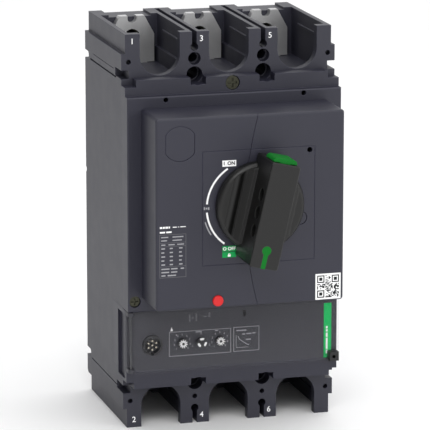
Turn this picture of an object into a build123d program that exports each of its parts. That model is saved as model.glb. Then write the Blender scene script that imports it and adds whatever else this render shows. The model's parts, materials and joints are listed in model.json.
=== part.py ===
from build123d import *
import math
import os

# Three-pole molded case circuit breaker with a rotary handle and an electronic trip unit.
# Millimetres. X runs across the poles, Z runs up, and the front of the breaker faces -Y.
# The origin is the centre of the rear mounting face, so "depth" means distance in front of it (-Y).

# Driving dimensions of the case
CASE_WIDTH = 140.0
SHROUD_WIDTH = 135.0
CASE_HEIGHT = 255.0
RAIL_HEIGHT = 230.0
SPLIT_DEPTH = 36.0
SHROUD_DEPTH = 95.5
LIP_DEPTH = 104.5
COVER_DEPTH = 110.0
MODULE_DEPTH = 145.0
GRIP_DEPTH = 179.0
POLE_PITCH = 45.0
MOUNT_SPACING_Z = 200.0
MOUNT_HOLE_R = 3.0
WALL = 3.0

HALF_W = CASE_WIDTH / 2
HALF_SHROUD = SHROUD_WIDTH / 2
HALF_H = CASE_HEIGHT / 2
HALF_RAIL = RAIL_HEIGHT / 2
POLES = [-POLE_PITCH, 0.0, POLE_PITCH]
MOUNT_X = POLE_PITCH / 2
MOUNT_Z = MOUNT_SPACING_Z / 2
SIDES = [-1, 1]
CUT = 1.0  # how far a cutting solid runs past the face that it opens

# Terminal cells at both ends of each pole
CELL_OUTER_X = 64.3
CELL_HALF_NARROW = 16.5
CELL_HALF_WIDE = 18.3
CELL_FLOOR_Z = 96.5
CELL_STEP_Z = 106.5
CELL_BACK = 20.0
CELL_PLATE_BACK = 89.5
ARCH_Z = 113.5
ARCH_R = 13.0

# Chambers for contacts and arc chutes, one for each pole
CHAMBER_HALF = 18.7
CHAMBER_Z = 88.0
CHAMBER_BACK = 6.0
CHAMBER_FRONT = 86.0
TRIP_TOP_Z = -48.2
TRIP_BOTTOM_Z = -89.7
TRIP_BACK = 71.0

# Front cover
COVER_BOTTOM_Z = -47.9
COVER_TOP_Z = 89.8
LIP_Z = 99.8
COVER_CORNER = 11.0
LOW_SCREW_X = 65.5
LOW_SCREW_Z = -41.1
TOP_SCREW_Z = 95.3
SCREW_R = 1.6

# Terminals
PAD_HALF = 14.7
PAD_BACK = 20.0
PAD_FRONT = 26.0
PAD_HOLE_R = 5.25
STRAP_HALF = 10.0
NUT_ACROSS_FLATS = 17.0
NUT_BORE_R = 4.25
NUT_BACK = 12.0

# Contact shaft
SHAFT_DEPTH = 36.0
SHAFT_Z = 20.0
SHAFT_R = 4.0
RUNNING_GAP = 0.08
ARM_LENGTH = 23.0
ARM_CLOSED_TILT = 14.5
CONTACT_TRAVEL = 35.0

# Rotary handle and its drive
HANDLE_X = 5.3
HANDLE_Z = 24.8
HANDLE_TILT = 13.0
HANDLE_TRAVEL = 150.0
DIAL_R = 28.3
DIAL_FRONT = 151.6
GRIP_TOP = 33.0
GRIP_BOTTOM = -33.3
GRIP_LEFT = -8.8
GRIP_RIGHT = 9.8
HUB_R = 11.92
SQUARE = 8.0
GEAR_MODULE = 1.5
GEAR_TEETH = 16
PRESSURE_ANGLE = 20.0
BACKLASH = 0.25
PADLOCK_PITCH = 11.5
PADLOCK_HOLE_R = 4.1
PADLOCK_DEPTH = 171.0
PADLOCK_TOP = 11.0
SLIDE_TRAVEL = PADLOCK_PITCH / 2

# Rotary module
MODULE_HALF = 61.0
MODULE_Z = 21.5
BOSS_FRONT = 134.0
FASCIA_BACK = 142.5
SEAM_R = 235.0
SEAM_LEFT_X = -3.2
BLANK_X = -45.3
BLANK_Z = 66.3
BLANK_R = 11.0
BLANK_HALF = 9.3

# Toggle lever
TOGGLE_DEPTH = 67.5
SHUTTLE_BACK = 113.0
SHUTTLE_FRONT = 115.5
PITCH_R = GEAR_MODULE * GEAR_TEETH / 2
SHUTTLE_TRAVEL = PITCH_R * math.radians(HANDLE_TRAVEL)
TOGGLE_TILT = math.degrees(
    math.atan2(SHUTTLE_TRAVEL / 2, (SHUTTLE_BACK + SHUTTLE_FRONT) / 2 - TOGGLE_DEPTH)
)

# Trip button and trip bar
BUTTON_X = -21.1
BUTTON_Z = -34.8
BUTTON_R = 3.5
BAR_DEPTH = 102.5
BAR_Z = -20.0
BAR_R = 2.5

# Trip unit
FACE_BACK = 102.0
FACE_BOTTOM_Z = -88.0
FACE_TOP_Z = -48.4
CLEAR_FRONT = 109.9
HINGE_X = -67.8
HINGE_DEPTH = 107.6
BARREL_R = 2.1
HINGE_PIN_R = 0.8
DIAL_XS = [-33.2, -20.8, -8.4]
DIAL_Z = -71.5
DIAL_HEAD_R = 3.2
DIAL_STEM_R = 1.5
CONNECTOR_X = -52.9
CONNECTOR_Z = -71.7
CONNECTOR_R = 6.7
LATCH_X = 63.5
LATCH_Z = -83.3

# Screws of the case and of the rotary module
CASE_SCREW_X = 67.2
CASE_SCREW_ZS = [-62.0, 62.0]
MODULE_SCREWS = [(x, z) for x in (-54.5, 54.5) for z in (MODULE_Z - 54.5, MODULE_Z + 54.5)]

# Pinion and rack
PINION_BACK = 118.5
PINION_FRONT = 125.0
RACK_X = HANDLE_X - PITCH_R

# Clear cover of the trip unit
CLEAR_LEFT = -65.4
CLEAR_RIGHT = 69.9
CLEAR_BOTTOM = -89.3
CLEAR_TOP = -48.6
CLEAR_BACK = 104.8
CLEAR_WALL = 1.3
BARREL_LOW = -85.4
BARREL_HIGH = -51.1

# Contact pins of the test connector
CONNECTOR_PINS = [(2.9 * math.cos(math.radians(60 * n + 30)), 2.9 * math.sin(math.radians(60 * n + 30)))
                  for n in range(6)] + [(0.0, 0.0)]
PIN_R = 0.55

# Slots in the handle
SLOT_HALF = 3.8
SLOT_BACK = 164.0
SLOT_FRONT = 176.8
SLOT_END = -31.0
POINTER_BACK = 178.2
POINTER_Z = -21.9
SLIDE_END = -24.0


def block(x_span, depth_span, z_span):
    """Box between two x, two depths and two heights."""
    x_low, x_high = sorted(x_span)
    back, front = sorted(depth_span)
    z_low, z_high = sorted(z_span)
    centre = Pos((x_low + x_high) / 2, -(back + front) / 2, (z_low + z_high) / 2)
    return centre * Box(x_high - x_low, front - back, z_high - z_low)


def rod_y(x, z, radius, back, front):
    """Cylinder that runs from back to front."""
    return Pos(x, -(back + front) / 2, z) * Rot(90, 0, 0) * Cylinder(radius, front - back)


def rod_x(depth, z, radius, x_low, x_high):
    """Cylinder that runs across the breaker."""
    return Pos((x_low + x_high) / 2, -depth, z) * Rot(0, 90, 0) * Cylinder(radius, x_high - x_low)


def rod_z(x, depth, radius, z_low, z_high):
    """Upright cylinder."""
    return Pos(x, -depth, (z_low + z_high) / 2) * Cylinder(radius, z_high - z_low)


def prism_y(outline, back, front):
    """Solid of a flat outline in x and z, drawn as seen from the front, between two depths."""
    facing_front = Plane(origin=(0, -back, 0), x_dir=(1, 0, 0), z_dir=(0, -1, 0))
    return extrude(facing_front * outline, front - back)


def front_edges(solid, depth):
    """Edges that lie in the plane at this depth."""
    return solid.edges().filter_by_position(Axis.Y, -depth - 0.01, -depth + 0.01)


def screw(x, z, head_r, head_back, head_front, tip, slot_width=1.0):
    """Round headed screw with a cross slot."""
    body = rod_y(x, z, head_r, head_back, head_front) + rod_y(x, z, SCREW_R, tip, head_back)
    slot_back = head_front - 1.0
    across = block((x - head_r * 0.7, x + head_r * 0.7), (slot_back, head_front + CUT),
                   (z - slot_width / 2, z + slot_width / 2))
    upright = block((x - slot_width / 2, x + slot_width / 2), (slot_back, head_front + CUT),
                    (z - head_r * 0.7, z + head_r * 0.7))
    return body - across - upright


def coil_spring(radius, wire_r, length, pitch):
    """Coil spring that stands on the origin along +Z."""
    path = Helix(pitch, length - 2 * wire_r, radius)
    section = Plane(origin=path @ 0, z_dir=path % 0) * Circle(wire_r)
    return Pos(0, 0, wire_r) * sweep(section, path=path, is_frenet=True)


def on_handle(solid):
    """Turns a solid drawn about an upright grip into the handle's place and tilt."""
    return Pos(HANDLE_X, 0, HANDLE_Z) * Rot(0, HANDLE_TILT, 0) * solid


def group(solids):
    return Compound(children=list(solids))


# ---------------------------------------------------------------- case

def case_blank(back, front):
    rails = block((-HALF_W, HALF_W), (back, front), (-HALF_RAIL, HALF_RAIL))
    return rails + block((-HALF_SHROUD, HALF_SHROUD), (back, front), (-HALF_H, HALF_H))


def cell_x_span(pole, half):
    """Width of one terminal cell: the outer cells reach nearer to the side walls."""
    low = -CELL_OUTER_X if pole == POLES[0] else pole - half
    high = CELL_OUTER_X if pole == POLES[-1] else pole + half
    return (low, high)


def terminal_cell(pole, side):
    depths = (CELL_BACK, CELL_PLATE_BACK)
    narrow = block(cell_x_span(pole, CELL_HALF_NARROW), depths, (side * CELL_FLOOR_Z, side * CELL_STEP_Z))
    wide = block(cell_x_span(pole, CELL_HALF_WIDE), depths, (side * CELL_STEP_Z, side * (HALF_H + CUT)))
    arch = rod_y(pole, side * ARCH_Z, ARCH_R, CELL_PLATE_BACK - CUT, SHROUD_DEPTH + CUT)
    mouth = block((pole - ARCH_R, pole + ARCH_R), (CELL_PLATE_BACK - CUT, SHROUD_DEPTH + CUT),
                  (side * ARCH_Z, side * (HALF_H + CUT)))
    sill = block((pole - 14, pole + 14), (-CUT, CELL_BACK + CUT), (side * 126.0, side * (HALF_H + CUT)))
    strap_slot = block((pole - STRAP_HALF - 0.2, pole + STRAP_HALF + 0.2), (PAD_BACK - 0.2, PAD_FRONT + 0.2),
                       (side * (CHAMBER_Z - CUT), side * (CELL_FLOOR_Z + CUT)))
    return narrow + wide + arch + mouth + sill + strap_slot


def barrier_slot(x, side):
    """Slot for a barrier between two poles, with a round keyhole at its inner end."""
    keyhole_z = side * 117.6
    slot = block((x - 1.55, x + 1.55), (2, SHROUD_DEPTH + CUT), (keyhole_z, side * (HALF_H + CUT)))
    return slot + rod_y(x, keyhole_z, 2.55, 2, SHROUD_DEPTH + CUT)


def mounting_hole(x, side):
    z = side * MOUNT_Z
    hole = rod_y(x, z, MOUNT_HOLE_R, -CUT, 13)
    head_way = rod_y(x, z, 4.6, 12, CHAMBER_FRONT + CUT)
    return hole + head_way + rod_y(x, z, 5.2, CHAMBER_FRONT, SHROUD_DEPTH + CUT)


def side_details(side):
    """Notches, grooves and pockets in one side face."""
    face = side * HALF_W
    deep = side * (HALF_W - 3.0)
    cuts = []
    for end in SIDES:
        notch_z = end * MOUNT_Z
        cuts.append(block((face + side * CUT, deep), (-CUT, 7.4), (notch_z - 2.6, notch_z + 2.6)))
        cuts.append(rod_x(7.4, notch_z, 2.6, *sorted((face + side * CUT, deep))))
        cuts.append(block((face + side * CUT, side * 65.0), (80.0, SHROUD_DEPTH + CUT),
                          (end * 99.2, end * 104.7)))
    cuts.append(block((face + side * CUT, face - side * 1.2), (14.0, 82.4), (98.0, 99.1)))
    cuts.append(block((face + side * CUT, face - side * 0.5), (23.0, 76.0), (102.8, 103.2)))
    cuts.append(block((face + side * CUT, face - side * 1.0), (12.0, 81.0), (-103.0, -102.3)))
    cuts.append(block((face + side * CUT, face - side * 1.2), (-CUT, 1.6), (21.3, 24.3)))
    return cuts


def shared_case_cuts():
    """Openings that run through both halves of the case."""
    cuts = []
    for side in SIDES:
        for pole in POLES:
            cuts.append(terminal_cell(pole, side))
        for x in (-MOUNT_X, MOUNT_X):
            cuts.append(barrier_slot(x, side))
            cuts.append(mounting_hole(x, side))
        cuts.extend(side_details(side))
    for x in (-MOUNT_X, MOUNT_X):
        cuts.append(rod_y(x, 110.3, 4.1, CELL_PLATE_BACK, SHROUD_DEPTH + CUT))
        cuts.append(rod_y(x, 110.3, 3.2, SPLIT_DEPTH + 20, SHROUD_DEPTH))
        cuts.append(rod_y(x, -109.8, 1.6, CELL_PLATE_BACK, SHROUD_DEPTH + CUT))
    for x in (-65.3, 65.3):
        for z in (109.9, -109.9):
            cuts.append(rod_y(x, z, 1.6, 90.5, SHROUD_DEPTH + CUT))
    cuts.append(rod_x(SHAFT_DEPTH, SHAFT_Z, SHAFT_R + RUNNING_GAP, -CELL_OUTER_X, CELL_OUTER_X))
    return cuts


def case_screw_holes():
    holes = []
    for x in (-CASE_SCREW_X, CASE_SCREW_X):
        for z in CASE_SCREW_ZS:
            holes.append(rod_y(x, z, SCREW_R, -CUT, 62))
            holes.append(rod_y(x, z, 2.4, -CUT, 3))
    return holes


def rear_base():
    base = case_blank(0, SPLIT_DEPTH)
    cuts = shared_case_cuts() + case_screw_holes()
    for pole in POLES:
        cuts.append(block((pole - CHAMBER_HALF, pole + CHAMBER_HALF), (CHAMBER_BACK, SPLIT_DEPTH + CUT),
                          (-CHAMBER_Z, CHAMBER_Z)))
        for side in SIDES:
            z = side * ARCH_Z
            nut_pocket = Pos(pole, z) * RegularPolygon(NUT_ACROSS_FLATS / 2 + 0.05, 6, major_radius=False)
            cuts.append(prism_y(nut_pocket, NUT_BACK, CELL_BACK + CUT))
            cuts.append(rod_y(pole, z, 5.5, 4, 13))
    base = base - cuts
    bottom_edge = base.edges().filter_by(Axis.X).filter_by_position(Axis.Y, -0.01, 0.01)
    foot = bottom_edge.filter_by_position(Axis.Z, -HALF_RAIL - 0.01, -HALF_RAIL + 0.01)
    return chamfer(foot, 2.0) if foot else base


def mid_case():
    case = case_blank(SPLIT_DEPTH, SHROUD_DEPTH)
    cuts = shared_case_cuts() + case_screw_holes()
    for pole in POLES:
        span = (pole - CHAMBER_HALF, pole + CHAMBER_HALF)
        cuts.append(block(span, (SPLIT_DEPTH - CUT, CHAMBER_FRONT), (-45, CHAMBER_Z)))
        cuts.append(block(span, (SPLIT_DEPTH - CUT, TRIP_BACK - 2), (-CHAMBER_Z, -44)))
    cuts.append(block((-14.5, 14.5), (CHAMBER_FRONT - CUT, SHROUD_DEPTH + CUT), (-8, 51)))
    cuts.append(block((-HALF_W - CUT, HALF_W + CUT), (TRIP_BACK, SHROUD_DEPTH + CUT),
                      (TRIP_BOTTOM_Z, TRIP_TOP_Z)))
    for side in SIDES:
        cuts.append(block((side * 68.0, side * (HALF_W + CUT)), (83.4, SHROUD_DEPTH + CUT),
                          (-93.5, TRIP_BOTTOM_Z + CUT)))
        cuts.append(rod_y(side * LOW_SCREW_X, LOW_SCREW_Z, SCREW_R, 87, SHROUD_DEPTH + CUT))
    cuts.append(rod_y(0, TOP_SCREW_Z, SCREW_R, 90, SHROUD_DEPTH + CUT))
    case = case - cuts
    for side in SIDES:
        for pole in POLES:
            low, high = cell_x_span(pole, CELL_HALF_WIDE)
            z_span = (side * 117.8, side * 119.3)
            case += block((low, low + 1), (SPLIT_DEPTH, CELL_PLATE_BACK), z_span)
            case += block((high - 1, high), (SPLIT_DEPTH, CELL_PLATE_BACK), z_span)
        lug = block((side * 40, side * 43), (SHROUD_DEPTH, 106), (BAR_Z - 4, BAR_Z + 4))
        case += lug - rod_x(BAR_DEPTH, BAR_Z, BAR_R + RUNNING_GAP, *sorted((side * 39, side * 44)))
    return case


def lip_cuts(end_z, step_z, corner_x):
    """Screwdriver cut-outs and notched corners of the lip at one end of the front."""
    cuts = []
    outer_z = end_z + math.copysign(CUT, end_z)
    for side in SIDES:
        cuts.append(block((side * 17.5, side * 27.4), (SHROUD_DEPTH - CUT, LIP_DEPTH + CUT),
                          (step_z, outer_z)))
        way_z = math.copysign(MOUNT_Z, end_z)
        cuts.append(rod_y(side * MOUNT_X, way_z, 5.2, SHROUD_DEPTH - CUT, LIP_DEPTH + CUT))
        cuts.append(block((side * corner_x, side * (HALF_W + CUT)), (SHROUD_DEPTH - CUT, LIP_DEPTH + CUT),
                          (step_z, outer_z)))
    return cuts


def front_cover():
    cover = block((-HALF_W, HALF_W), (SHROUD_DEPTH, COVER_DEPTH), (COVER_BOTTOM_Z, COVER_TOP_Z))
    rim = front_edges(cover, COVER_DEPTH)
    cover = chamfer(rim, 0.6)
    hollow = block((-HALF_W + WALL, HALF_W - WALL), (SHROUD_DEPTH - CUT, COVER_DEPTH - WALL),
                   (COVER_BOTTOM_Z + WALL, COVER_TOP_Z - WALL))
    for side in SIDES:
        corner_x = side * (HALF_W - COVER_CORNER)
        hollow -= block((corner_x, side * HALF_W), (SHROUD_DEPTH - 2 * CUT, COVER_DEPTH),
                        (COVER_BOTTOM_Z, COVER_BOTTOM_Z + COVER_CORNER + 2))
    cover -= hollow
    cover += block((-HALF_W, HALF_W), (SHROUD_DEPTH, LIP_DEPTH), (COVER_TOP_Z - WALL, LIP_Z))
    cuts = lip_cuts(LIP_Z, TOP_SCREW_Z, 62.7)
    cuts.append(block((-8, 8), (COVER_DEPTH - WALL - CUT, COVER_DEPTH + CUT), (MODULE_Z - 20, MODULE_Z + 20)))
    for side in SIDES:
        cuts.append(rod_y(side * POLE_PITCH, 87.5, 1.6, SHROUD_DEPTH - CUT, COVER_DEPTH + CUT))
        cuts.append(rod_y(side * LOW_SCREW_X, LOW_SCREW_Z, SCREW_R, SHROUD_DEPTH - CUT, COVER_DEPTH))
        cuts.append(rod_y(side * LOW_SCREW_X, LOW_SCREW_Z, 3.7, 106, COVER_DEPTH + CUT))
    cuts.append(rod_y(0, TOP_SCREW_Z, SCREW_R, SHROUD_DEPTH - CUT, LIP_DEPTH))
    cuts.append(rod_y(0, TOP_SCREW_Z, 4.7, 101.5, LIP_DEPTH + CUT))
    cuts.append(rod_y(BUTTON_X, BUTTON_Z, 1.8, 105, COVER_DEPTH + CUT))
    for x, z in MODULE_SCREWS:
        cuts.append(rod_y(x, z, SCREW_R, 105, COVER_DEPTH + CUT))
    return cover - cuts


def cover_screws():
    screws = [screw(side * LOW_SCREW_X, LOW_SCREW_Z, 3.4, 106, 108.6, 87.2) for side in SIDES]
    screws.append(screw(0, TOP_SCREW_Z, 4.3, 101.5, 103.6, 90.2, 1.4))
    return group(screws)


def case_screws():
    screws = []
    for x in (-CASE_SCREW_X, CASE_SCREW_X):
        for z in CASE_SCREW_ZS:
            head = rod_y(x, z, 2.3, 1.0, 3.0)
            screws.append(head + rod_y(x, z, SCREW_R, 3.0, 60))
    return group(screws)


# ---------------------------------------------------------------- current path

def terminal_pad(pole, side):
    """Flat connection pad with sloping shoulders, a bolt hole and a notch in its outer edge."""
    shoulder_z = 115.3
    end_z = HALF_H - 0.2
    points = [(-PAD_HALF, 97.0), (PAD_HALF, 97.0), (PAD_HALF, shoulder_z), (8.2, end_z),
              (-8.2, end_z), (-PAD_HALF, shoulder_z)]
    outline = Pos(pole, 0) * make_face(Polyline(*[(x, side * z) for x, z in points], close=True))
    pad = prism_y(outline, PAD_BACK, PAD_FRONT)
    pad -= rod_y(pole, side * ARCH_Z, PAD_HOLE_R, PAD_BACK - CUT, PAD_FRONT + CUT)
    notch_z = side * 125.6
    pad -= rod_y(pole, notch_z, 3.0, PAD_BACK - CUT, PAD_FRONT + CUT)
    pad -= block((pole - 3, pole + 3), (PAD_BACK - CUT, PAD_FRONT + CUT), (notch_z, side * (HALF_H + CUT)))
    return pad


def strap(pole, depth_span, z_span):
    return block((pole - STRAP_HALF, pole + STRAP_HALF), depth_span, z_span)


def line_terminal(pole):
    return terminal_pad(pole, 1) + strap(pole, (PAD_BACK, PAD_FRONT), (36, 97.5))


def load_terminal(pole):
    rear_run = strap(pole, (PAD_BACK, PAD_FRONT), (-97.5, -30))
    crossing = strap(pole, (PAD_BACK, 50), (-34, -30))
    front_run = strap(pole, (46, 50), (-34, 1))
    return terminal_pad(pole, -1) + rear_run + crossing + front_run


def terminal_nuts():
    nuts = []
    for pole in POLES:
        for side in SIDES:
            z = side * ARCH_Z
            hexagon = Pos(pole, z) * RegularPolygon(NUT_ACROSS_FLATS / 2, 6, major_radius=False)
            nut = prism_y(hexagon, NUT_BACK, CELL_BACK)
            nuts.append(nut - rod_y(pole, z, NUT_BORE_R, NUT_BACK - CUT, CELL_BACK + CUT))
    return group(nuts)


def contact_tips():
    tips = []
    for pole in POLES:
        tips.append(block((pole - 4, pole + 4), (PAD_FRONT, 28), (36.2, 43)))
        tips.append(block((pole - 4, pole + 4), (44, 46), (-6, 1)))
    return group(tips)


def contact_arm(pole):
    """Double-break arm, drawn open: its upper end leans forward by the travel less the closed tilt."""
    bar = block((pole - 4, pole + 4), (-2, 2), (-ARM_LENGTH, ARM_LENGTH))
    eye = rod_x(0, 0, 6.5, pole - 4, pole + 4) - rod_x(0, 0, SHAFT_R, pole - 5, pole + 5)
    arm = (bar - rod_x(0, 0, SHAFT_R, pole - 5, pole + 5)) + eye
    return Pos(0, -SHAFT_DEPTH, SHAFT_Z) * Rot(CONTACT_TRAVEL - ARM_CLOSED_TILT, 0, 0) * arm


def contact_rotor(pole):
    drum = rod_x(SHAFT_DEPTH, SHAFT_Z, 13, pole - 13, pole + 13)
    drum -= rod_x(SHAFT_DEPTH, SHAFT_Z, SHAFT_R, pole - 14, pole + 14)
    window = block((pole - 4, pole + 4), (-2, 2), (-14, 14)) + rod_x(0, 0, 6.5, pole - 4, pole + 4)
    return drum - Pos(0, -SHAFT_DEPTH, SHAFT_Z) * Rot(CONTACT_TRAVEL - ARM_CLOSED_TILT, 0, 0) * window


def arc_plates(pole):
    """Steel splitter plates above and below the contacts of one pole."""
    plates = []
    for step in range(9):
        back = 30.0 + 4.0 * step
        plate = block((pole - 15, pole + 15), (back, back + 1.2), (48, 82))
        plates.append(plate - rod_y(pole, 48, 5, back - CUT, back + 2 * CUT + 1.2))
    for step in range(8):
        back = 9.0 + 4.0 * step
        plate = block((pole - 15, pole + 15), (back, back + 1.2), (-27, -8))
        plates.append(plate - rod_y(pole, -8, 5, back - CUT, back + 2 * CUT + 1.2))
    return group(plates)


def arc_cheeks():
    """Insulating side walls that hold the splitter plates."""
    cheeks = []
    for pole in POLES:
        for side in SIDES:
            span = (pole + side * 15, pole + side * CHAMBER_HALF)
            cheeks.append(block(span, (28, 66), (46, 84)))
            cheeks.append(block(span, (7, 41), (-28.5, -6.5)))
    return group(cheeks)


def current_transformer(pole):
    ring = block((pole - 16, pole + 16), (CHAMBER_BACK, 38), (-80, -64))
    ring = fillet(ring.edges().filter_by(Axis.Z), 3)
    return ring - block((pole - 10.4, pole + 10.4), (19.6, 26.4), (-81, -63))


# ---------------------------------------------------------------- mechanism

def mechanism_plates():
    plates = []
    for side in SIDES:
        plate = block((side * 13, side * 14.5), (53, 94), (-6, 45))
        plates.append(plate - rod_x(TOGGLE_DEPTH, MODULE_Z, BAR_R, *sorted((side * 12, side * 15))))
    return group(plates)


def toggle_pin():
    return rod_x(TOGGLE_DEPTH, MODULE_Z, BAR_R, -14.5, 14.5)


def toggle_lever():
    """Lever that the shuttle plate moves, drawn at its lower (off) end."""
    hub = rod_x(0, 0, 6, -6, 6)
    arm = block((-4, 4), (0, 50.5), (-3, 3))
    lever = hub + arm - rod_x(0, 0, BAR_R + RUNNING_GAP, -7, 7)
    return Pos(0, -TOGGLE_DEPTH, MODULE_Z) * Rot(TOGGLE_TILT, 0, 0) * lever


def main_springs():
    springs = []
    for side in SIDES:
        spring = coil_spring(2.0, 0.5, 28.0, 2.0)
        springs.append(Pos(side * 9.6, -56, 40) * Rot(90, 0, 0) * spring)
    return group(springs)


def pinion_outline():
    """Spur gear outline about its own centre, with one tooth pointing to -x."""
    base_r = PITCH_R * math.cos(math.radians(PRESSURE_ANGLE))
    tip_r = PITCH_R + 0.93 * GEAR_MODULE
    root_r = PITCH_R - 1.25 * GEAR_MODULE
    half_tooth = math.pi / (2 * GEAR_TEETH) - BACKLASH / (2 * PITCH_R)
    involute_at_pitch = math.tan(math.radians(PRESSURE_ANGLE)) - math.radians(PRESSURE_ANGLE)
    flank = [(root_r, half_tooth + involute_at_pitch)]
    steps = 4
    for step in range(steps + 1):
        radius = base_r + (tip_r - base_r) * step / steps
        roll = math.sqrt(max((radius / base_r) ** 2 - 1, 0))
        flank.append((radius, half_tooth + involute_at_pitch - (roll - math.atan(roll))))
    points = []
    for tooth in range(GEAR_TEETH):
        middle = math.pi + 2 * math.pi * tooth / GEAR_TEETH
        for radius, angle in flank:
            points.append((radius * math.cos(middle - angle), radius * math.sin(middle - angle)))
        for radius, angle in reversed(flank):
            points.append((radius * math.cos(middle + angle), radius * math.sin(middle + angle)))
    return make_face(Polyline(*points, close=True))


def handle_pinion():
    gear = prism_y(Pos(HANDLE_X, HANDLE_Z) * pinion_outline(), PINION_BACK, PINION_FRONT)
    socket = block((-SQUARE / 2, SQUARE / 2), (PINION_BACK - CUT, PINION_FRONT + CUT),
                   (-SQUARE / 2, SQUARE / 2))
    return gear - on_handle(socket)


def rack_outline():
    """Rack whose teeth point to +x, with a gap level with the pinion's centre."""
    pitch = math.pi * GEAR_MODULE
    slope = math.tan(math.radians(PRESSURE_ANGLE))
    tip_x = RACK_X + 0.93 * GEAR_MODULE
    root_x = RACK_X - 1.25 * GEAR_MODULE
    half_tip = pitch / 4 - BACKLASH / 2 - slope * (tip_x - RACK_X)
    half_root = pitch / 4 - BACKLASH / 2 + slope * (RACK_X - root_x)
    points = [(RACK_X - 8, -16.0)]
    points.append((root_x, -16.0))
    for tooth in range(-9, 2):
        middle = HANDLE_Z + (tooth + 0.5) * pitch
        points.append((root_x, middle - half_root))
        points.append((tip_x, middle - half_tip))
        points.append((tip_x, middle + half_tip))
        points.append((root_x, middle + half_root))
    points.append((root_x, 36.0))
    points.append((RACK_X - 8, 36.0))
    return make_face(Polyline(*points, close=True))


def shuttle_plate():
    """Plate that the pinion slides up and down, drawn at its lower (off) end."""
    plate = block((-30, 30), (SHUTTLE_BACK, SHUTTLE_FRONT), (-18, 38))
    plate += prism_y(rack_outline(), SHUTTLE_FRONT - 0.5, PINION_FRONT)
    slot_z = MODULE_Z - SHUTTLE_TRAVEL / 2
    plate -= block((-5, 5), (SHUTTLE_BACK - CUT, SHUTTLE_FRONT + CUT), (slot_z - 4.4, slot_z + 4.4))
    return plate


def shuttle_rails():
    rails = []
    for side in SIDES:
        rail = block((side * 28, side * 35), (COVER_DEPTH, 118), (-26, 76))
        groove = block((side * 27, side * 30.2), (SHUTTLE_BACK - 0.1, SHUTTLE_FRONT + 0.1), (-27, 77))
        rails.append(rail - groove)
    return group(rails)


def trip_bar():
    bar = rod_x(BAR_DEPTH, BAR_Z, BAR_R, -45, 45)
    for x in (BUTTON_X, 30.0):
        bar += block((x - 2, x + 2), (101.5, 103.5), (-38, BAR_Z))
    bar += block((14, 18), (101.5, 103.5), (BAR_Z, -8))
    return bar


# ---------------------------------------------------------------- trip unit

def trip_unit_housing():
    body = block((-HALF_W, HALF_W), (TRIP_BACK, FACE_BACK), (TRIP_BOTTOM_Z + 0.1, TRIP_TOP_Z - 0.15))
    body += block((-HALF_W, HALF_W), (SHROUD_DEPTH, LIP_DEPTH), (-LIP_Z, FACE_BOTTOM_Z))
    cuts = lip_cuts(-LIP_Z, -95.3, 65.0)
    cuts.append(block((-62, 62), (TRIP_BACK + WALL, FACE_BACK + CUT), (-86, -52)))
    for side in SIDES:
        cuts.append(block((side * 68, side * (HALF_W + CUT)), (83.4, 100.0), (-93.5, -51.2)))
    body = body - cuts
    for x in (-45, 45):
        for z in (-81, -57):
            body += rod_y(x, z, 2, TRIP_BACK + WALL, 92)
    return body


def hinge_lug(z_low, z_high):
    lug = rod_z(HINGE_X, HINGE_DEPTH, BARREL_R, z_low, z_high)
    lug += block((HINGE_X - BARREL_R, HINGE_X + BARREL_R), (LIP_DEPTH - 0.5, HINGE_DEPTH), (z_low, z_high))
    return lug - rod_z(HINGE_X, HINGE_DEPTH, HINGE_PIN_R, z_low - CUT, z_high + CUT)


def trip_unit_face():
    face = block((-69.9, 69.9), (FACE_BACK, LIP_DEPTH), (FACE_BOTTOM_Z, FACE_TOP_Z))
    face -= rod_y(CONNECTOR_X, CONNECTOR_Z, CONNECTOR_R, FACE_BACK - CUT, LIP_DEPTH + CUT)
    for x in DIAL_XS:
        face -= rod_y(x, DIAL_Z, DIAL_STEM_R + RUNNING_GAP, FACE_BACK - CUT, LIP_DEPTH + CUT)
    for z_low, z_high in ((FACE_BOTTOM_Z, -85.6), (-50.9, FACE_TOP_Z - 0.1)):
        face += hinge_lug(z_low, z_high)
    return face


def trip_cover():
    """Clear cover with a hinge barrel on its left edge and a ribbed right edge."""
    shell = block((CLEAR_LEFT, CLEAR_RIGHT), (CLEAR_BACK, CLEAR_FRONT), (CLEAR_BOTTOM, CLEAR_TOP))
    shell = chamfer(front_edges(shell, CLEAR_FRONT).filter_by(Axis.X), 0.8)
    shell -= block((CLEAR_LEFT - CUT, CLEAR_RIGHT - CLEAR_WALL), (CLEAR_BACK - CUT, CLEAR_FRONT - CLEAR_WALL),
                   (CLEAR_BOTTOM + CLEAR_WALL, CLEAR_TOP - CLEAR_WALL))
    barrel = rod_z(HINGE_X, HINGE_DEPTH, BARREL_R, BARREL_LOW, BARREL_HIGH)
    web = block((HINGE_X, CLEAR_LEFT + CUT), (CLEAR_FRONT - CLEAR_WALL - 0.2, CLEAR_FRONT - 0.2),
                (BARREL_LOW, BARREL_HIGH))
    shell = shell + barrel + web
    shell -= rod_z(HINGE_X, HINGE_DEPTH, HINGE_PIN_R + RUNNING_GAP, BARREL_LOW - CUT, BARREL_HIGH + CUT)
    for rib in range(2):
        x = 66.8 + 1.6 * rib
        shell -= block((x - 0.3, x + 0.3), (CLEAR_FRONT - 0.5, CLEAR_FRONT + CUT),
                       (LATCH_Z + 1, CLEAR_TOP + CUT))
    corner = block((LATCH_X - 0.05, CLEAR_RIGHT + CUT), (CLEAR_BACK - CUT, CLEAR_FRONT + CUT),
                   (CLEAR_BOTTOM - CUT, LATCH_Z + 0.05))
    return shell - corner


def trip_cover_pin():
    return rod_z(HINGE_X, HINGE_DEPTH, HINGE_PIN_R, FACE_BOTTOM_Z, FACE_TOP_Z - 0.1)


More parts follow.
